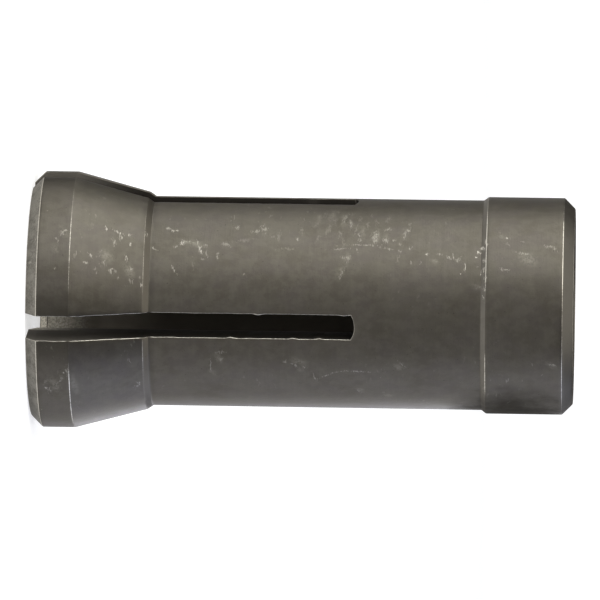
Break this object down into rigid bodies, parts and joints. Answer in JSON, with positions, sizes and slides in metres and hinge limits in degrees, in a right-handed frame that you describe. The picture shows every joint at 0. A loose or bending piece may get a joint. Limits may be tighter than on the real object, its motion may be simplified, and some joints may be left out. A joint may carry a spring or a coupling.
{
  "type": "grinder collet",
  "caption": "Slotted spring collet with a flared conical nose, a slender slotted barrel and a ground rear collar, for gripping a round tool shank in a die grinder spindle.",
  "frame": {"origin": "centre of the nose face, on the axis, where the collet stands on its nose", "axes": "+Z along the axis from the nose to the rear face; the slots lie in the XZ and YZ planes"},
  "size_m": [0.0112, 0.0112, 0.0237],
  "materials": {
    "blackened_steel": "worn dark oxide over fine turning marks"
  },
  "bodies": {
    "root": {"collet_body": "blackened_steel"}
  },
  "joints": []
}
